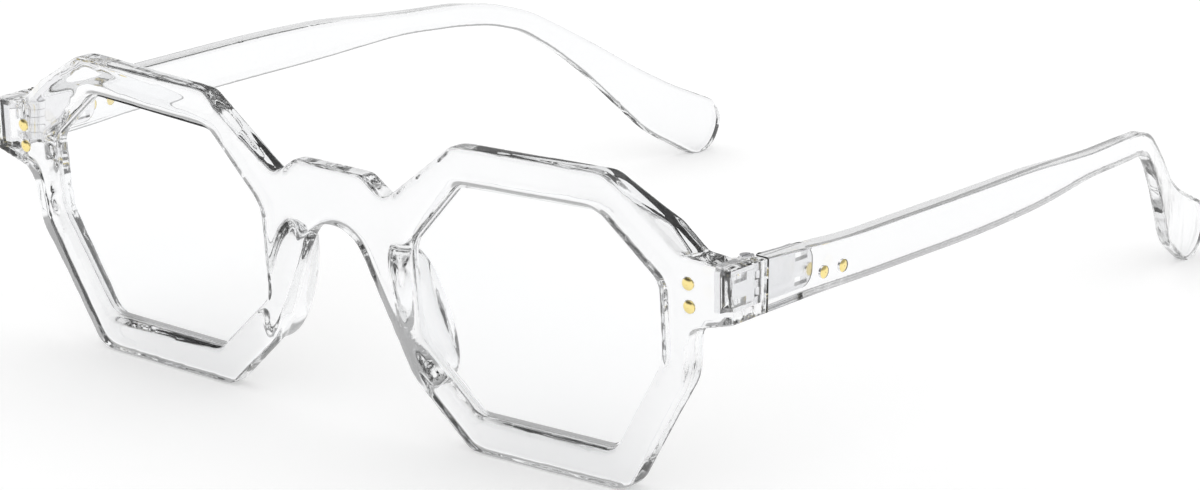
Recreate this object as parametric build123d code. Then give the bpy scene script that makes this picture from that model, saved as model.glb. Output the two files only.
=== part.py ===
from build123d import *
import math
import os

# Octagonal eyeglasses. Millimetres, +Z up. +X is the wearer's left, +Y runs from the front to the ears.
# The front stands on the flat undersides of its rims, and the temples on their tips.

# Front: a plate that leans forward at the top and wraps back a little at its ends
front_lean_angle = 7.0
wrap_radius = 1090.0
back_wrap_radius = 570.0      # of the back face, so that the plate grows thicker towards its ends
rim_thickness = 3.6           # at the middle of the bridge
rim_width = 4.57
front_edge_radius = 0.4
back_edge_radius = 1.0
opening_bevel = 1.0

# Lens openings, measured on the front face
opening_width = 42.2
opening_height = 35.15
bridge_gap = 24.8             # between the two openings

# Bridge
bridge_drop = 7.6             # from the top of the rims down to the top of the bridge
notch_depth = 2.75
bridge_height = 8.4
arch_radius = 5.6
arch_side_angle = 24.6

# End pieces
end_reach = 6.1               # out from the corner of the rim
end_height = 7.4
end_top_drop = 0.7            # the fall of its top on the way out
end_root_drop = 2.0           # the rise of its underside on the way out
inner_corner_radius = 2.0     # between an end piece and the back of its rim
brow_bevel = 2.8              # width on the front face of the sloping facet above the end piece

# Corners of an opening, as shares of its width and height from its lower nasal corner
opening_corner_shares = [
    (0.218, 0.977), (0.768, 1.0), (1.0, 0.751), (0.995, 0.424),
    (0.791, 0.0), (0.246, 0.0), (0.0, 0.28), (0.0, 0.684),
]
# Corner radii there, as shares of the rim's width
opening_radius_shares = [0.75, 0.9, 0.8, 1.2, 0.8, 0.7, 1.0, 1.1]
# Outer corners, as shares of the rim's width out from the opening's corner of the same place
nasal_top_shares = (0.05, 1.0)
brow_shares = (0.33, 0.96)
shoulder_shares = (0.22, 1.69)
temporal_top_shares = (1.02, 0.91)
temporal_low_shares = (0.6, -0.43)
bottom_temporal_share = 0.3
bottom_nasal_share = -0.26
# Ends of the bridge's plateau and of the notches beside it, as shares of half the gap
plateau_share = 0.49
notch_share = 0.78
# Outer corner radii, as shares of the rim's width
plateau_radius_share = 0.28
notch_radius_share = 0.2
nasal_top_radius_share = 0.5
brow_radius_share = 0.9
shoulder_radius_share = 0.4
temporal_top_radius_share = 0.12
armpit_radius_share = 0.65
temporal_low_radius_share = 1.6
bottom_temporal_radius_share = 0.8
bottom_nasal_radius_share = 0.7
nasal_low_radius_share = 1.7

# Lenses
groove_depth = 0.85
groove_setback = 2.3          # middle of the groove behind the front face
lens_half_thickness = 0.8
lens_fit = 0.1

# Hinge: three knuckles on the front, two on the temple, one screw
joint_setback = 7.6           # from the front face of the end piece to the joint
joint_gap = 0.2
hinge_raise = 0.3             # above the middle of the end piece
knuckle_height = 1.05
knuckle_gap = 0.05
knuckle_radius = 1.2
knuckle_room = 0.25
front_knuckles = (0, 2, 4)
temple_knuckles = (1, 3)
leaf_thickness = 0.9
leaf_fit = 0.05
front_blade_length = 5.4
temple_blade_length = 9.4
blade_end_radius = 2.2
window_length = 2.6
window_height = 1.15
window_setback = 2.35         # from the end of a blade to the middle of its windows
window_share = 0.3            # how far they lie above and below its middle, of its height
screw_radius = 0.6
screw_running_fit = 0.04
screw_head_radius = 0.95
screw_head_height = 0.45
screw_slot_width = 0.25
screw_slot_depth = 0.2

# Studs
stud_radius = 0.85
stud_length = 0.7
stud_dome = 0.25
stud_fit = 0.02
front_stud_inset = 6.55       # from the outer side of the end piece
front_stud_spacing = 3.15
front_stud_drop = 0.8         # of their middle, below that of the end piece
temple_stud_setback = 11.9    # from the joint to the first stud
temple_stud_spacing = 4.0
temple_stud_drop = 0.8        # below the middle of the temple

# Temples
temple_length = 141.0         # along Y, from the joint to the end of the tip
temple_thickness = 3.05       # at the joint
temple_toe_in = 18.4          # how far the outer side comes in along its whole length
temple_outer_edge_radius = 0.3
temple_inner_edge_radius = 0.8
tip_half_height = 5.1
tip_flat = 0.25               # how much of its lowest side is cut away flat
# Stations along a temple: place along its length, height of its middle as a share of the hinge's,
# and half its height there as a share of the end piece's height
temple_station_shares = [
    (0.1, 0.991, 0.426), (0.327, 0.985, 0.428), (0.44, 0.981, 0.395), (0.561, 0.969, 0.239),
    (0.646, 0.949, 0.25), (0.695, 0.923, 0.238), (0.738, 0.862, 0.228), (0.78, 0.742, 0.257),
    (0.823, 0.599, 0.33), (0.866, 0.436, 0.439), (0.908, 0.286, 0.588),
]
# Corners of a temple seen from above: place along its length, how far the outer side has come in as a
# share of the toe-in, and the thickness as a share of that at the joint
temple_plan_shares = [
    (0.08, -0.026, 1.165), (0.14, -0.05, 1.0), (0.33, -0.066, 1.0), (0.46, -0.024, 0.97),
    (0.56, 0.053, 0.88), (0.66, 0.16, 0.77), (0.75, 0.39, 0.72), (0.92, 0.9, 0.74), (1.04, 1.02, 0.8),
]

# Nose pads
pad_half_lengths = (9.5, 9.8, 8.0)
pad_half_widths = (2.1, 3.0, 2.4)
pad_depths = (3.3, 5.8, 7.9)  # of its three sections behind the front face
pad_height = 16.9             # middle of its base above the table
pad_inset = 1.5               # middle of its base in from the opening's nasal side
pad_splay = 0.5               # how far its crest lies out from its base
pad_drop = 0.7                # and how far below
pad_lean_angle = 17.0
pad_crest_radius = 1.2

edge_slope = 45.0             # of a lens edge and of its groove
run_share = 0.35              # how much of a run the rounding at each of its ends takes
tip_round_share = 0.47        # the same for the two corners at a temple's tip
overrun = 3.0                 # how far a cutting tool passes beyond what it cuts

# Places that follow from the sizes
half_gap = bridge_gap / 2
hinge_stack = 5 * knuckle_height + 4 * knuckle_gap


def opening_corner(number):
    """A corner of the wearer's left opening, in X and Z on the front face."""
    across, up = opening_corner_shares[number]
    return (half_gap + opening_width * across, rim_width + opening_height * up)


def outer_corner(number, shares):
    """A corner of the rim, out from the opening's corner by shares of the rim's width."""
    x, z = opening_corner(number)
    return (x + rim_width * shares[0], z + rim_width * shares[1])


brow = outer_corner(1, brow_shares)
temporal_top = outer_corner(2, temporal_top_shares)
temporal_low = outer_corner(3, temporal_low_shares)
half_front_width = temporal_top[0] + end_reach
end_top_height = temporal_top[1] - end_top_drop
end_bottom_height = end_top_height - end_height
end_middle_height = (end_top_height + end_bottom_height) / 2
bridge_top = brow[1] - bridge_drop
hinge_bottom = end_middle_height + hinge_raise - hinge_stack / 2
hinge_top = hinge_bottom + hinge_stack
hinge_inner_x = half_front_width - temple_thickness
hinge_x = hinge_inner_x + leaf_thickness - knuckle_radius
lean = Rot(X=front_lean_angle)


def face_depth(x):
    """How far the front face has wrapped back at x, square to the lean."""
    return wrap_radius - math.sqrt(wrap_radius ** 2 - x ** 2)


def face_y(x, z):
    """Y of the front face at x and z."""
    angle = math.radians(front_lean_angle)
    return face_depth(x) / math.cos(angle) - z * math.tan(angle)


joint_y = face_y(half_front_width, end_middle_height) + joint_setback
temple_front_y = joint_y + joint_gap
hinge_y = joint_y + joint_gap / 2


def box_between(low, high):
    """A box from its lowest to its highest corner."""
    size = [b - a for a, b in zip(low, high)]
    middle = [(a + b) / 2 for a, b in zip(low, high)]
    return Pos(*middle) * Box(*size)


def bent_layer(from_depth):
    """What lies between a depth behind the front face and the back face, before the lean."""
    half_height = 2 * brow[1]
    reach = half_front_width + overrun
    layer = Pos(0, wrap_radius, 0) * Cylinder(wrap_radius - from_depth, 2 * half_height)
    hollow = Cylinder(back_wrap_radius, 2 * half_height + overrun)
    layer -= Pos(0, rim_thickness + back_wrap_radius, 0) * hollow
    return layer & box_between((-reach, -overrun, -half_height), (reach, reach, half_height))


def prism(face, from_y, to_y):
    """A face drawn in X and Z, carried through Y."""
    return Pos(0, to_y, 0) * extrude(Plane.XZ * face, amount=to_y - from_y)


def opening_face(inset):
    """The octagon of an opening, moved in by inset."""
    corners = [opening_corner(number) for number in range(len(opening_corner_shares))]
    radii = [rim_width * share for share in opening_radius_shares]
    return offset(make_face(FilletPolyline(*corners, radius=radii, close=True)), amount=-inset)


def front_face():
    """The whole front as it is seen from the front."""
    apex = bridge_top - bridge_height - arch_radius + arch_radius / math.sin(math.radians(arch_side_angle))
    nasal_low = (half_gap, apex - half_gap / math.tan(math.radians(arch_side_angle)))
    armpit_height = end_bottom_height - end_root_drop
    side_share = (temporal_top[1] - armpit_height) / (temporal_top[1] - temporal_low[1])
    armpit = (temporal_top[0] + (temporal_low[0] - temporal_top[0]) * side_share, armpit_height)
    bottom_temporal = (opening_corner(4)[0] + rim_width * bottom_temporal_share, 0)
    bottom_nasal = (opening_corner(5)[0] + rim_width * bottom_nasal_share, 0)
    half = [
        ((half_gap * plateau_share, bridge_top), plateau_radius_share),
        ((half_gap * notch_share, bridge_top - notch_depth), notch_radius_share),
        (outer_corner(0, nasal_top_shares), nasal_top_radius_share),
        (brow, brow_radius_share),
        (outer_corner(2, shoulder_shares), shoulder_radius_share),
        (temporal_top, temporal_top_radius_share),
        ((half_front_width, end_top_height), 0),
        ((half_front_width, end_bottom_height), 0),
        (armpit, armpit_radius_share),
        (temporal_low, temporal_low_radius_share),
        (bottom_temporal, bottom_temporal_radius_share),
        (bottom_nasal, bottom_nasal_radius_share),
        (nasal_low, nasal_low_radius_share),
    ]
    points = [point for point, share in half]
    radii = [rim_width * share for point, share in half]
    points += [(0, apex)] + [(-x, z) for x, z in reversed(points)]
    radii += [arch_radius] + radii[::-1]
    return make_face(FilletPolyline(*points, radius=radii, close=True))


def end_block():
    """The part of an end piece that stands back from the rim and carries the hinge."""
    back_depth = rim_thickness + back_wrap_radius - math.sqrt(back_wrap_radius ** 2 - hinge_inner_x ** 2)
    column = box_between(
        (hinge_inner_x, face_depth(half_front_width) + rim_thickness / 2, -brow[1]),
        (half_front_width, 2 * joint_setback + overrun, 2 * brow[1]),
    )
    joined = bent_layer(rim_thickness / 2) + column
    corner = joined.edges().filter_by(Axis.Z).sort_by_distance((hinge_inner_x, back_depth, 0))[0]
    joined = lean * fillet(corner, inner_corner_radius)
    room = box_between(
        (hinge_inner_x - inner_corner_radius, face_y(0, brow[1]), end_bottom_height),
        (half_front_width, joint_y, end_top_height),
    )
    return joined & room


def plate():
    """The front as one leaning, wrapped plate with its outer edges rounded."""
    reach = 2 * joint_setback
    solid = (lean * bent_layer(0)) & prism(front_face(), -reach, reach)
    faces = solid.faces().filter_by(GeomType.CYLINDER).sort_by(SortBy.AREA)[-2:].sort_by(Axis.Y)
    solid = fillet(faces[0].outer_wire().edges(), front_edge_radius)
    faces = solid.faces().filter_by(GeomType.CYLINDER).sort_by(SortBy.AREA)[-2:].sort_by(Axis.Y)
    return fillet(faces[1].outer_wire().edges(), back_edge_radius)


def brow_cut():
    """What the sloping facet takes off the rim, above the line of the end piece's top."""
    from_x, from_z = brow
    to_x, to_z = temporal_top[0] - brow_bevel, temporal_top[1]
    start = Vector(from_x, face_y(from_x, from_z), from_z)
    along = (Vector(to_x, face_y(to_x, to_z), to_z) - start).normalized()
    forward = (lean * Pos(0, -1, 0)).position
    slope = Plane(start, x_dir=along, z_dir=forward + forward.cross(along))
    length = 2 * opening_height
    block = slope * box_between((-length, -length, 0), (length, length, length))
    above = box_between((from_x - rim_width, -length, to_z), (half_front_width, length, length))
    return block & above


def lens_plane():
    """The middle plane of the wearer's left lens, with X across, Y up and Z out to the front."""
    middle_x = half_gap + opening_width / 2
    middle_z = rim_width + opening_height / 2
    turn = math.degrees(math.asin(middle_x / wrap_radius))
    place = Pos(middle_x, face_y(middle_x, middle_z) + groove_setback, middle_z)
    return place * lean * Rot(Z=turn) * Rot(X=90) * Pos(-middle_x, -middle_z, 0)


def ridged_slab(out, half_thickness):
    """A flat slab of the opening's outline, with a ridge round its edge that stands out of the wall."""
    face = opening_face(opening_bevel - out)
    half = extrude(face, amount=half_thickness, taper=edge_slope)
    return lens_plane() * (half + mirror(half, about=Plane.XY))


def lens():
    """A clear lens, with its ridge in the middle of its edge."""
    return ridged_slab(groove_depth - lens_fit * math.sqrt(2), lens_half_thickness)


def knuckle_level(number):
    """Height of the underside of a knuckle, counted from the lowest."""
    return hinge_bottom + number * (knuckle_height + knuckle_gap)


def upright(radius, from_z, to_z):
    """A round bar on the hinge's axis."""
    return Pos(hinge_x, hinge_y, (from_z + to_z) / 2) * Cylinder(radius, to_z - from_z)


def knuckle_space():
    """The notch that the end piece and the temple leave round the knuckles."""
    reach = knuckle_radius + knuckle_room
    return box_between(
        (hinge_x - reach - overrun, hinge_y - reach, end_bottom_height - overrun),
        (hinge_x + reach, hinge_y + reach, end_top_height + overrun),
    )


def blade(from_y, to_y, end_radius, fit):
    """The flat of a hinge leaf, or with a fit the pocket that it lies in."""
    flat = box_between(
        (hinge_inner_x - fit, from_y - fit, hinge_bottom - fit),
        (hinge_inner_x + leaf_thickness + fit, to_y + fit, hinge_top + fit),
    )
    if end_radius > 0:
        flat = fillet(flat.faces().sort_by(Axis.Y)[-1].edges().filter_by(Axis.X), end_radius)
    return flat


def leaf(flat, window_y, numbers):
    """A hinge leaf: its flat with two windows, and its knuckles with the bore for the screw."""
    middle_z = (hinge_bottom + hinge_top) / 2
    middle_x = hinge_inner_x + leaf_thickness / 2
    solid = flat
    for side in (-1, 1):
        window = Box(leaf_thickness + overrun, window_length, window_height)
        solid -= Pos(middle_x, window_y, middle_z + side * hinge_stack * window_share) * window
    blade_end = min(flat.vertices(), key=lambda corner: abs(corner.Y - hinge_y)).Y
    for number in numbers:
        low = knuckle_level(number)
        web = box_between(
            (hinge_inner_x, min(blade_end, hinge_y), low),
            (hinge_inner_x + leaf_thickness, max(blade_end, hinge_y), low + knuckle_height),
        )
        solid += web + upright(knuckle_radius, low, low + knuckle_height)
    return solid - upright(screw_radius + screw_running_fit, hinge_bottom - overrun, hinge_top + overrun)


def front_blade(fit):
    """The part of the front leaf that is let into the end piece."""
    end = hinge_y - knuckle_radius - knuckle_room
    return blade(end - front_blade_length, end, 0, fit)


def temple_blade(fit):
    """The part of the temple leaf that is let into the temple's inner side."""
    start = hinge_y + knuckle_radius + knuckle_room
    return blade(start, start + temple_blade_length, blade_end_radius, fit)


def front_leaf():
    """The hinge leaf of the front."""
    flat = front_blade(0)
    window_y = flat.bounding_box().min.Y + window_setback
    return leaf(flat, window_y, front_knuckles)


def temple_leaf():
    """The hinge leaf of the temple."""
    flat = temple_blade(0)
    window_y = flat.bounding_box().max.Y - window_setback
    return leaf(flat, window_y, temple_knuckles)


def hinge_screw():
    """The screw that the knuckles turn on, its head on the top knuckle."""
    head = upright(screw_head_radius, hinge_top, hinge_top + screw_head_height)
    slot = Box(screw_slot_width, 2 * screw_head_radius + overrun, 2 * screw_slot_depth)
    head -= Pos(hinge_x, hinge_y, hinge_top + screw_head_height) * slot
    return upright(screw_radius, hinge_bottom, hinge_top) + head


def stud():
    """A pin with a low dome, standing on its own length."""
    dome_radius = (stud_radius ** 2 + stud_dome ** 2) / (2 * stud_dome)
    pin = Pos(0, 0, (stud_dome - stud_length) / 2) * Cylinder(stud_radius, stud_length + stud_dome)
    return pin & (Pos(0, 0, stud_dome - dome_radius) * Sphere(dome_radius) + Pos(0, 0, -stud_length) * pin)


def stud_hole():
    """The blind hole that a stud sits in."""
    deep = stud_length + stud_fit
    return Pos(0, 0, (overrun - deep) / 2) * Cylinder(stud_radius + stud_fit, deep + overrun)


def on_front_face(x, z):
    """A place on the front face with Z out of it."""
    turn = math.degrees(math.asin(x / wrap_radius))
    return Pos(x, face_y(x, z), z) * lean * Rot(Z=turn) * Rot(X=90)


def front_stud_places():
    """Where the two studs of an end piece stand, by name."""
    x = half_front_width - front_stud_inset
    middle = end_middle_height - front_stud_drop
    return {
        "upper": on_front_face(x, middle + front_stud_spacing / 2),
        "lower": on_front_face(x, middle - front_stud_spacing / 2),
    }


def temple_plan():
    """Y, outer X and thickness at each corner of a temple seen from above."""
    corners = [(temple_front_y, half_front_width, temple_thickness)]
    for along, toe, thickness in temple_plan_shares:
        corners.append((
            temple_front_y + temple_length * along,
            half_front_width - temple_toe_in * toe,
            temple_thickness * thickness,
        ))
    return corners


def temple_stud_places():
    """Where the two studs of a temple stand on its outer side, by name."""
    (from_y, from_x, _), (to_y, to_x, _) = temple_plan()[:2]
    places = {}
    for name, number in (("front", 0), ("rear", 1)):
        y = joint_y + temple_stud_setback + temple_stud_spacing * number
        x = from_x + (to_x - from_x) * (y - from_y) / (to_y - from_y)
        places[name] = Pos(x, y, end_middle_height - temple_stud_drop) * Rot(Y=90)
    return places


def rounded_face(points, shares):
    """A closed outline. The rounding of each corner takes a share of the shorter run beside it."""
    radii = []
    for number, share in enumerate(shares):
        before = Vector(*points[number]) - Vector(*points[number - 1])
        after = Vector(*points[(number + 1) % len(points)]) - Vector(*points[number])
        half_turn = math.radians(before.get_angle(after)) / 2
        radii.append(share * min(before.length, after.length) / math.tan(half_turn))
    return make_face(FilletPolyline(*points, radius=radii, close=True))


def temple_side_face():
    """A temple seen from its side, in Y and Z: wide at the joint, thin above the ear, wide at the tip."""
    cap = Vector(temple_front_y + temple_length - tip_half_height, tip_half_height - tip_flat)
    middles = [Vector(temple_front_y, end_middle_height)]
    halves = [end_height / 2]
    for along, height, half in temple_station_shares:
        middles.append(Vector(temple_front_y + temple_length * along, end_middle_height * height))
        halves.append(end_height * half)
    middles.append(cap + (cap - middles[-1]).normalized() * tip_half_height)
    halves.append(tip_half_height)
    upper = []
    lower = []
    for number, (middle, half) in enumerate(zip(middles, halves)):
        before = middles[max(number - 1, 0)]
        after = middles[min(number + 1, len(middles) - 1)]
        along = (after - before).normalized()
        if number == 0:
            along = Vector(1, 0)
        across = Vector(-along.Y, along.X) * half
        upper.append(middle + across)
        lower.append(middle - across)
    points = [(point.X, point.Y) for point in upper + lower[::-1]]
    smooth = [run_share] * (len(upper) - 2)
    return rounded_face(points, [0] + smooth + [tip_round_share] * 2 + smooth + [0])


def temple_plan_face():
    """A temple seen from above, in X and Y."""
    corners = temple_plan()
    outer = [(x, y) for y, x, thickness in corners]
    inner = [(x - thickness, y) for y, x, thickness in corners]
    smooth = [run_share] * (len(corners) - 2)
    return rounded_face(outer + inner[::-1], [0] + smooth + [0, 0] + smooth + [0])


def long_edges(solid, side):
    """The long edges of a temple's outer side, or with side -1 of its inner side."""
    edges = []
    for face in solid.faces():
        normal = face.normal_at()
        if normal.X * side > max(abs(normal.Y), abs(normal.Z)):
            upright_edges = face.edges().filter_by(Axis.Z)
            edges += [edge for edge in face.edges() if edge not in upright_edges]
    return edges


def temple():
    """A clear side arm, with the notch and pocket for its hinge leaf and the holes for its studs."""
    side = extrude(Plane.YZ * temple_side_face(), amount=half_front_width + overrun)
    plan = extrude(temple_plan_face(), amount=2 * end_top_height)
    solid = side & (Pos(0, 0, -overrun) * plan)
    solid = fillet(long_edges(solid, -1), temple_inner_edge_radius)
    solid = fillet(long_edges(solid, 1), temple_outer_edge_radius)
    solid -= box_between((0, 0, -2 * overrun), (half_front_width, 2 * temple_length, 0))
    solid -= knuckle_space() + temple_blade(leaf_fit)
    for place in temple_stud_places().values():
        solid -= place * stud_hole()
    return solid


def front():
    """The clear front with its openings, grooves, hinge pockets and stud holes."""
    solid = plate()
    for tool in (brow_cut(), mirror(brow_cut(), about=Plane.YZ)):
        solid -= tool
    solid += end_block() + mirror(end_block(), about=Plane.YZ)
    hole = prism(opening_face(opening_bevel), -joint_setback, joint_setback)
    solid -= hole + mirror(hole, about=Plane.YZ)
    faces = solid.faces().filter_by(GeomType.CYLINDER).sort_by(SortBy.AREA)[-2:].sort_by(Axis.Y)
    solid = chamfer([edge for wire in faces[0].inner_wires() for edge in wire.edges()], opening_bevel)
    tools = [ridged_slab(groove_depth, groove_depth + lens_fit), knuckle_space(), front_blade(leaf_fit)]
    tools += [place * stud_hole() for place in front_stud_places().values()]
    for tool in tools:
        solid -= tool
        solid -= mirror(tool, about=Plane.YZ)
    return solid


def nose_pad(whole_front):
    """A clear pad cemented behind the rim, seated on its shape."""
    x = half_gap + opening_bevel - pad_inset
    sections = []
    for half_width, half_length, depth in zip(pad_half_widths, pad_half_lengths, pad_depths):
        share = (depth - pad_depths[0]) / (pad_depths[-1] - pad_depths[0])
        place = on_front_face(x + pad_splay * share, pad_height - pad_drop * share)
        ellipse = Rot(Z=pad_lean_angle) * Ellipse(half_width, half_length)
        sections.append(place * Pos(0, 0, -depth) * ellipse)
    solid = loft(sections)
    solid = fillet(solid.faces().sort_by(Axis.Y)[-1].edges(), pad_crest_radius)
    return solid - whole_front


os.makedirs("parts", exist_ok=True)
whole_front = front()
left_pieces = {
    "lens": lens(),
    "nose_pad": nose_pad(whole_front),
    "temple": temple(),
    "front_leaf": front_leaf(),
    "temple_leaf": temple_leaf(),
    "hinge_screw": hinge_screw(),
}
for name, place in front_stud_places().items():
    left_pieces["front_stud_" + name] = place * stud()
for name, place in temple_stud_places().items():
    left_pieces["temple_stud_" + name] = place * stud()
pieces = {"front": whole_front}
for name, piece in left_pieces.items():
    pieces[name + "_left"] = piece
    pieces[name + "_right"] = mirror(piece, about=Plane.YZ)

# The origin is below the middle of the whole, so everything moves forward by the same amount
shift = -(whole_front.bounding_box().min.Y + temple_front_y + temple_length) / 2
for name, piece in pieces.items():
    export_step(Pos(0, shift, 0) * piece, "parts/" + name + ".step")
print("shift", round(shift, 4), "joint_y", round(joint_y + shift, 4))
print("hinge at", round(hinge_x, 4), round(hinge_y + shift, 4))
print("knuckles from", round(hinge_bottom, 4), "to", round(hinge_top, 4))
print("end piece from", round(end_bottom_height, 4), "to", round(end_top_height, 4))
print("half width", round(half_front_width, 4))
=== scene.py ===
import math
import bpy
import numpy as np
from mathutils import Matrix, Vector


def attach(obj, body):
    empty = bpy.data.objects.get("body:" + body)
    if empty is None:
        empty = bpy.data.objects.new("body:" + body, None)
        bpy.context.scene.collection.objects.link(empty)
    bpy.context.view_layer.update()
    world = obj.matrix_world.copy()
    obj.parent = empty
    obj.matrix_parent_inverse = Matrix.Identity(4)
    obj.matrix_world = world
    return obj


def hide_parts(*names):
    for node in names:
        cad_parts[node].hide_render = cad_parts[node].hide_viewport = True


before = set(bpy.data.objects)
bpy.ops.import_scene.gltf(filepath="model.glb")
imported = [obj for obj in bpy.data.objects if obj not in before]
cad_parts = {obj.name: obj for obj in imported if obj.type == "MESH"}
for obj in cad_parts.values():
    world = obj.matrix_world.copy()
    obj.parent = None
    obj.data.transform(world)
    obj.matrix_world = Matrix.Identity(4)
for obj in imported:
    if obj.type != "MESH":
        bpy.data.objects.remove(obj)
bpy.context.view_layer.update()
print("packed frame loaded,", len(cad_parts), "nodes")


class Wire:
    # one output of a node, so that shader maths reads as plain sums
    def __init__(self, tree, made, output=0):
        self.tree = tree
        self.made = made
        self.socket = made.outputs[output] if len(made.outputs) else None

    def take(self, output):
        return Wire(self.tree, self.made, output)

    def maths(self, operation, *values):
        return self.tree.node("ShaderNodeMath", {"operation": operation}, dict(enumerate(values)))

    def __add__(self, other):
        return self.maths("ADD", self, other)

    def __rsub__(self, other):
        return self.maths("SUBTRACT", other, self)

    def __mul__(self, other):
        return self.maths("MULTIPLY", self, other)

    __radd__ = __add__
    __rmul__ = __mul__

    def atMost(self, limit):
        return self.maths("MINIMUM", self, limit)

    def ramp(self, low, high):
        # 0 at low, 1 at high, smooth between
        values = {"Value": self, "From Min": low, "From Max": high}
        return self.tree.node("ShaderNodeMapRange", {"interpolation_type": "SMOOTHSTEP"}, values)


class Tree:
    def __init__(self, owner):
        owner.use_nodes = True
        self.tree = owner.node_tree
        self.tree.nodes.clear()

    def node(self, kind, settings=None, values=None, output=0):
        made = self.tree.nodes.new(kind)
        for name, value in (settings or {}).items():
            setattr(made, name, value)
        for name, value in (values or {}).items():
            if isinstance(value, Wire):
                self.tree.links.new(value.socket, made.inputs[name])
            else:
                made.inputs[name].default_value = value
        return Wire(self, made, output)

    def blend(self, factor, first, second):
        # a colour between two colours
        return self.node("ShaderNodeMix", {"data_type": "RGBA"}, {0: factor, 6: first, 7: second}, 2)

    def bump(self, height, strength, depth):
        return self.node("ShaderNodeBump", None, {"Strength": strength, "Distance": depth, "Height": height})


def newFinish(name):
    material = bpy.data.materials.new(name)
    return material, Tree(material)


def shine(tree, **values):
    made = tree.node("ShaderNodeBsdfPrincipled", None, values)
    tree.node("ShaderNodeOutputMaterial", None, {"Surface": made})


def objectNoise(tree, scale, stretch=(1, 1, 1), detail=3):
    place = tree.node("ShaderNodeTexCoord", output="Object")
    place = tree.node("ShaderNodeMapping", None, {"Vector": place, "Scale": stretch})
    return tree.node("ShaderNodeTexNoise", None, {"Vector": place, "Scale": scale, "Detail": detail})


clearFinish = {
    "pale": (0.965, 0.968, 0.972, 1),
    "deep": (0.93, 0.935, 0.943, 1),
    "ior": 1.49,
    "haze": 0.02,
    "wave": 0.03,
    "waveDepth": 0.0002,
}


def clearPlastic():
    material, tree = newFinish("clearPlastic")
    cloud = objectNoise(tree, 60)
    streak = objectNoise(tree, 420, (1, 0.15, 1))
    wave = objectNoise(tree, 130, detail=1)
    shine(tree, **{
        "Base Color": tree.blend(cloud, clearFinish["pale"], clearFinish["deep"]),
        "Roughness": streak.ramp(0.62, 0.8) * clearFinish["haze"],
        "IOR": clearFinish["ior"],
        "Transmission Weight": 1.0,
        "Normal": tree.bump(wave, clearFinish["wave"], clearFinish["waveDepth"]),
    })
    return material


lensFinish = {
    "pale": (0.995, 0.997, 1, 1),
    "deep": (0.985, 0.99, 0.995, 1),
    "ior": 1.5,
    "smear": 0.01,
}


def clearLens():
    material, tree = newFinish("clearLens")
    cloud = objectNoise(tree, 30)
    smear = objectNoise(tree, 90, (1, 1, 0.4))
    shine(tree, **{
        "Base Color": tree.blend(cloud, lensFinish["pale"], lensFinish["deep"]),
        "Roughness": smear.ramp(0.6, 0.9) * lensFinish["smear"],
        "IOR": lensFinish["ior"],
        "Transmission Weight": 1.0,
    })
    return material


edgeFinish = {
    "pale": (0.97, 0.975, 0.98, 1),
    "deep": (0.93, 0.935, 0.945, 1),
    "smoothest": 0.08,
    "spread": 0.12,
    "grit": 0.15,
    "gritDepth": 0.00002,
}


def groundEdge():
    # the bevel round a lens is ground, not polished
    material, tree = newFinish("groundEdge")
    grit = objectNoise(tree, 6000)
    shine(tree, **{
        "Base Color": tree.blend(grit, edgeFinish["pale"], edgeFinish["deep"]),
        "Roughness": grit * edgeFinish["spread"] + edgeFinish["smoothest"],
        "IOR": lensFinish["ior"],
        "Transmission Weight": 1.0,
        "Normal": tree.bump(grit, edgeFinish["grit"], edgeFinish["gritDepth"]),
    })
    return material


goldFinish = {
    "deep": (0.93, 0.75, 0.27, 1),
    "bright": (0.98, 0.84, 0.42, 1),
    "smoothest": 0.12,
    "spread": 0.12,
    "grain": 0.06,
    "grainDepth": 0.00005,
}


def polishedGold():
    material, tree = newFinish("polishedGold")
    cloud = objectNoise(tree, 900)
    grain = objectNoise(tree, 5000)
    shine(tree, **{
        "Base Color": tree.blend(cloud, goldFinish["deep"], goldFinish["bright"]),
        "Metallic": 1.0,
        "Roughness": cloud * goldFinish["spread"] + goldFinish["smoothest"],
        "Normal": tree.bump(grain, goldFinish["grain"], goldFinish["grainDepth"]),
    })
    return material


leafFinish = {
    "deep": (0.88, 0.88, 0.895, 1),
    "bright": (0.95, 0.95, 0.955, 1),
    "stretch": (1, 0.05, 1),        # the grain runs along the leaf
}
screwFinish = {
    "deep": (0.68, 0.68, 0.71, 1),
    "bright": (0.82, 0.82, 0.84, 1),
    "stretch": (1, 1, 0.1),
}
metalGrain = {"smoothest": 0.16, "spread": 0.14, "grain": 0.05, "grainDepth": 0.00002}


def brushedMetal(name, look):
    material, tree = newFinish(name)
    grain = objectNoise(tree, 9000, look["stretch"], detail=4)
    cloud = objectNoise(tree, 500)
    shine(tree, **{
        "Base Color": tree.blend(cloud, look["deep"], look["bright"]),
        "Metallic": 1.0,
        "Roughness": grain * metalGrain["spread"] + metalGrain["smoothest"],
        "Normal": tree.bump(grain, metalGrain["grain"], metalGrain["grainDepth"]),
    })
    return material


plastic = clearPlastic()
lensGlass = clearLens()
lensEdge = groundEdge()
gold = polishedGold()
hingeMetal = brushedMetal("hingeMetal", leafFinish)
screwMetal = brushedMetal("screwMetal", screwFinish)
print("finishes made")


def dress(name, material):
    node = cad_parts[name]
    node.data.materials.clear()
    node.data.materials.append(material)


copying = {
    "sharpFrom": 25,                # degrees between neighbouring faces
    "digits": 7,                    # of a metre, to which corners are equal
    "flatWeight": 80,
    "edgeFacing": 0.95,             # cosine below which a lens face is part of its edge
}


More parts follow.
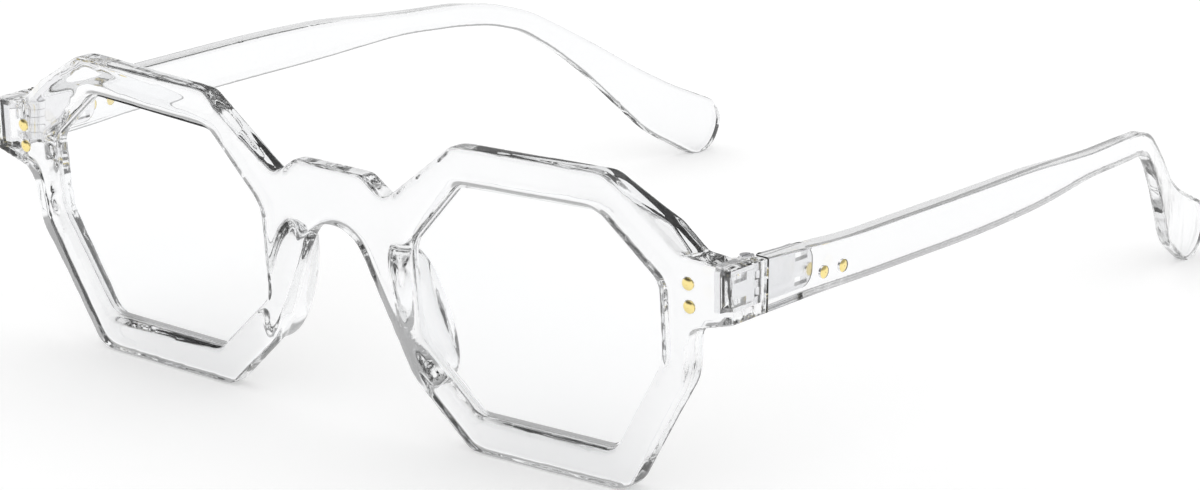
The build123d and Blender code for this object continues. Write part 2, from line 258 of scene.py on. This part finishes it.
def smoothCopy(name, material):
    # a node's triangles with equal corners joined, smooth but for its sharp edges
    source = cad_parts[name].data
    points = np.empty(len(source.vertices) * 3)
    source.vertices.foreach_get("co", points)
    corners = np.empty(len(source.loops), dtype=np.int64)
    source.loops.foreach_get("vertex_index", corners)
    joined, places = np.unique(np.round(points.reshape(-1, 3), copying["digits"]), axis=0, return_inverse=True)
    faces = places.ravel()[corners].reshape(-1, 3)
    whole = (faces[:, 0] != faces[:, 1]) & (faces[:, 1] != faces[:, 2]) & (faces[:, 2] != faces[:, 0])
    mesh = bpy.data.meshes.new("clear_" + name)
    mesh.from_pydata(joined, [], faces[whole])
    mesh.shade_smooth()
    mesh.set_sharp_from_angle(angle=math.radians(copying["sharpFrom"]))
    mesh.materials.append(material)
    piece = bpy.data.objects.new("clear_" + name, mesh)
    bpy.context.scene.collection.objects.link(piece)
    flatten = piece.modifiers.new("evenNormals", "WEIGHTED_NORMAL")
    flatten.keep_sharp = True
    flatten.weight = copying["flatWeight"]
    return piece


def grindEdge(piece):
    # faces that lie aslant to the lens's two flat sides take the ground finish
    mesh = piece.data
    mesh.materials.append(lensEdge)
    normals = np.empty(len(mesh.polygons) * 3)
    mesh.polygons.foreach_get("normal", normals)
    areas = np.empty(len(mesh.polygons))
    mesh.polygons.foreach_get("area", areas)
    normals = normals.reshape(-1, 3)
    across = normals[np.argmax(areas)]
    onEdge = np.abs(normals @ across) < copying["edgeFacing"]
    mesh.polygons.foreach_set("material_index", onEdge.astype(np.int32))


for side in ("left", "right"):
    dress("front_leaf_" + side, hingeMetal)
    dress("temple_leaf_" + side, hingeMetal)
    dress("hinge_screw_" + side, screwMetal)
    for stud in ("front_stud_upper_", "front_stud_lower_", "temple_stud_front_", "temple_stud_rear_"):
        dress(stud + side, gold)

padShape = {
    "middle": (11.9, 16.9),         # of its base on the front face, across and up, mm
    "depths": (3.3, 5.8, 7.9),      # of its three sections behind the front face
    "halfWidths": (2.1, 3.0, 2.4),
    "halfLengths": (9.5, 9.8, 8.0),
    "splay": 0.5,
    "drop": 0.7,
    "lean": 17.0,
    "root": 2.3,                    # depth at which it starts, inside the rim
    "crest": 1.5,
    "wrap": 1090.0,
    "frontLean": 7.0,
    "shift": -70.9741,
    "around": 96,                   # points round each ring
    "rings": (18, 10, 2),           # along the side, round the crest, and over its flat
}


def padSurface(side):
    # an ellipse carried back from the front face: its half axes and middle follow a parabola through three
    # sections, and over the last stretch they draw in along a quarter circle and close on a point
    shape = padShape
    last = shape["depths"][2]
    crest = shape["crest"]
    sideRings, crestRings, flatRings = shape["rings"]
    turn = np.linspace(0, 2 * np.pi, shape["around"] + 1)[:-1]
    quarter = np.linspace(0, np.pi / 2, crestRings + 1)[1:]
    straight = np.linspace(shape["root"], last - crest, sideRings)
    depth = np.concatenate([straight, last - crest + crest * np.sin(quarter), [last] * flatRings])
    drawIn = np.concatenate([np.zeros(sideRings), crest * (1 - np.cos(quarter)), [crest] * flatRings])
    flat = np.concatenate([np.ones(sideRings + crestRings), [0.5, 0.001]])
    halfWidth = (np.polyval(np.polyfit(shape["depths"], shape["halfWidths"], 2), depth) - drawIn) * flat
    halfLength = (np.polyval(np.polyfit(shape["depths"], shape["halfLengths"], 2), depth) - drawIn) * flat
    share = np.clip((depth - shape["depths"][0]) / (last - shape["depths"][0]), 0, 1)
    lean = math.radians(shape["lean"])
    across, up = np.outer(halfWidth, np.cos(turn)), np.outer(halfLength, np.sin(turn))
    u = across * math.cos(lean) - up * math.sin(lean)
    v = across * math.sin(lean) + up * math.cos(lean)
    middleX = (shape["middle"][0] + shape["splay"] * share)[:, None]
    middleZ = (shape["middle"][1] - shape["drop"] * share)[:, None]
    wrapTurn = np.arcsin(middleX / shape["wrap"])
    tilt = math.radians(shape["frontLean"])
    x = u * np.cos(wrapTurn) - depth[:, None] * np.sin(wrapTurn)
    y = u * np.sin(wrapTurn) + depth[:, None] * np.cos(wrapTurn)
    faceDepth = shape["wrap"] - np.sqrt(shape["wrap"] ** 2 - middleX ** 2)
    faceY = faceDepth / math.cos(tilt) - middleZ * math.tan(tilt)
    points = np.stack([
        side * (middleX + x),
        faceY + y * math.cos(tilt) - v * math.sin(tilt) + shape["shift"],
        middleZ + y * math.sin(tilt) + v * math.cos(tilt),
    ], axis=-1)
    return closedGrid("pad", points / 1000, side > 0)


def closedGrid(name, points, flip):
    # rings of points joined into a skin, with one face over the first ring and one over the last
    rings, around = points.shape[:2]
    row, column = np.meshgrid(np.arange(rings - 1), np.arange(around), indexing="ij")
    after = (column + 1) % around
    faces = np.stack([row * around + column, row * around + after,
                      (row + 1) * around + after, (row + 1) * around + column], axis=-1).reshape(-1, 4)
    if flip:
        faces = faces[:, ::-1]
    order = 1 if flip else -1
    ring = np.arange(around)
    ends = [ring[::order].tolist(), (ring + (rings - 1) * around)[::-order].tolist()]
    mesh = bpy.data.meshes.new(name)
    mesh.from_pydata(points.reshape(-1, 3), [], faces.tolist() + ends)
    made = bpy.data.objects.new(name, mesh)
    bpy.context.scene.collection.objects.link(made)
    return made


softSkin = {
    "voxel": 0.00032,
    "passes": 12,
    "pull": 0.5,
    "fadeFrom": 0.0530,             # from the middle plane outwards, metres
    "fadeTo": 0.0560,
    "sharpFrom": 38,                # degrees between neighbouring faces
}


def oneSkin(piece, others):
    # the piece and what grows out of it, joined and given an even skin of small faces
    piece.modifiers.clear()
    for other in others:
        joint = piece.modifiers.new("fuse", "BOOLEAN")
        joint.operation = "UNION"
        joint.solver = "EXACT"
        joint.object = other
    skin = piece.modifiers.new("evenSkin", "REMESH")
    skin.mode = "VOXEL"
    skin.voxel_size = softSkin["voxel"]
    graph = bpy.context.evaluated_depsgraph_get()
    piece.data = bpy.data.meshes.new_from_object(piece.evaluated_get(graph))
    piece.modifiers.clear()
    for other in others:
        bpy.data.objects.remove(other)


def soften(piece):
    # each point is drawn towards the middle of its neighbours, pass by pass; the pull fades out towards
    # the hinges, so that the pockets there keep their shape
    mesh = piece.data
    count = len(mesh.vertices)
    points = np.empty(count * 3)
    mesh.vertices.foreach_get("co", points)
    points = points.reshape(-1, 3)
    ends = np.empty(len(mesh.edges) * 2, dtype=np.int64)
    mesh.edges.foreach_get("vertices", ends)
    first, second = ends.reshape(-1, 2).T
    near = np.bincount(first, minlength=count) + np.bincount(second, minlength=count)
    fade = (softSkin["fadeTo"] - np.abs(points[:, 0])) / (softSkin["fadeTo"] - softSkin["fadeFrom"])
    pull = (softSkin["pull"] * np.clip(fade, 0, 1))[:, None]
    for step in range(softSkin["passes"]):
        total = np.stack([
            np.bincount(first, points[second, axis], count) + np.bincount(second, points[first, axis], count)
            for axis in range(3)
        ], axis=-1)
        points = points + pull * (total / near[:, None] - points)
    mesh.vertices.foreach_set("co", points.ravel())
    mesh.shade_smooth()
    mesh.set_sharp_from_angle(angle=math.radians(softSkin["sharpFrom"]))
    print("front softened,", len(mesh.polygons), "faces")


for name, body, slot, material in (
    ("front", "front_frame", "clear_frame", plastic),
    ("lens_left", "front_frame", "lens", lensGlass),
    ("lens_right", "front_frame", "lens", lensGlass),
    ("temple_left", "left_temple", "clear_frame", plastic),
    ("temple_right", "right_temple", "clear_frame", plastic),
):
    piece = smoothCopy(name, material)
    stands = [name]
    if slot == "lens":
        grindEdge(piece)
    if name == "front":
        oneSkin(piece, [padSurface(1), padSurface(-1)])
        soften(piece)
        stands += ["nose_pad_left", "nose_pad_right"]
    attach(piece, body)
    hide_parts(*stands)
print("clear pieces made")


studio = {
    "floorSize": 4.0,
    "floorColour": (0.8, 0.8, 0.8, 1),
    "floorLift": 0.33,
    "roomLight": 0.9,
    "frontSide": 0.10,
    "backSide": 0.42,
    "lowBand": (0.04, 0.14),        # heights over which the walls begin
    "topBand": (0.62, 0.85),        # and end
    "turnBand": (-0.25, 0.25),      # from the front side to the back side
    "bounces": 28,
    "glossyBounces": 8,
}


def makeFloor():
    half = studio["floorSize"] / 2
    mesh = bpy.data.meshes.new("floor")
    corners = [(-half, -half, 0), (half, -half, 0), (half, half, 0), (-half, half, 0)]
    mesh.from_pydata(corners, [], [(0, 1, 2, 3)])
    floor = bpy.data.objects.new("floor", mesh)
    bpy.context.scene.collection.objects.link(floor)
    material, tree = newFinish("paleFloor")
    path = tree.node("ShaderNodeLightPath", output="Is Camera Ray")
    seen = (path + path.take("Is Glossy Ray") + path.take("Is Transmission Ray")).atMost(1)
    diffuse = tree.node("ShaderNodeBsdfDiffuse", None, {"Color": studio["floorColour"]})
    glow = seen * studio["floorLift"]
    lift = tree.node("ShaderNodeEmission", None, {"Color": (1, 1, 1, 1), "Strength": glow})
    both = tree.node("ShaderNodeAddShader", None, {0: diffuse, 1: lift})
    tree.node("ShaderNodeOutputMaterial", None, {"Surface": both})
    mesh.materials.append(material)


def makeWorld():
    world = bpy.data.worlds.new("room")
    bpy.context.scene.world = world
    tree = Tree(world)
    path = tree.node("ShaderNodeLightPath", output="Is Camera Ray")
    mirrored = (path.take("Is Glossy Ray") + path.take("Is Transmission Ray")).atMost(1)
    direction = tree.node("ShaderNodeTexCoord", output="Generated")
    split = tree.node("ShaderNodeSeparateXYZ", None, {"Vector": direction})
    height = split.take("Z")
    low = 1 - height.ramp(*studio["lowBand"])
    top = height.ramp(*studio["topBand"])
    back = split.take("Y").ramp(*studio["turnBand"])
    wall = studio["frontSide"] + (studio["backSide"] - studio["frontSide"]) * back
    bright = (low + top).atMost(1)
    pattern = bright + (1 - bright) * wall
    plain = (1 - mirrored) * studio["roomLight"]
    strength = path + (1 - path) * (mirrored * pattern + plain)
    light = tree.node("ShaderNodeBackground", None, {"Color": (1, 1, 1, 1), "Strength": strength})
    tree.node("ShaderNodeOutputWorld", None, {"Surface": light})


cameraPlace = {
    "at": (0.374944, -0.501788, 0.194175),
    "azimuth": 38.9051,
    "elevation": 16.5163,
    "roll": 0.5681,
    "lens": 132.67,
    "shiftX": 0.08,
}


def makeCamera():
    turn, rise = math.radians(cameraPlace["azimuth"]), math.radians(cameraPlace["elevation"])
    roll = math.radians(cameraPlace["roll"])
    back = Vector((math.sin(turn) * math.cos(rise), -math.cos(turn) * math.cos(rise), math.sin(rise)))
    level = Vector((math.cos(turn), math.sin(turn), 0))
    right = level * math.cos(roll) + back.cross(level) * math.sin(roll)
    data = bpy.data.cameras.new("camera")
    data.lens = cameraPlace["lens"]
    data.sensor_width = 36
    data.shift_x = cameraPlace["shiftX"]
    data.clip_start = 0.01
    camera = bpy.data.objects.new("camera", data)
    camera.location = cameraPlace["at"]
    camera.rotation_mode = "QUATERNION"
    camera.rotation_quaternion = Matrix((right, back.cross(right), back)).transposed().to_quaternion()
    bpy.context.scene.collection.objects.link(camera)
    bpy.context.scene.camera = camera


makeFloor()
makeWorld()
makeCamera()
bpy.context.scene.view_settings.view_transform = "Standard"
paths = bpy.context.scene.cycles      # light turns many times inside the clear plastic
paths.max_bounces = studio["bounces"]
paths.transmission_bounces = studio["bounces"]
paths.glossy_bounces = studio["glossyBounces"]
print("studio made")
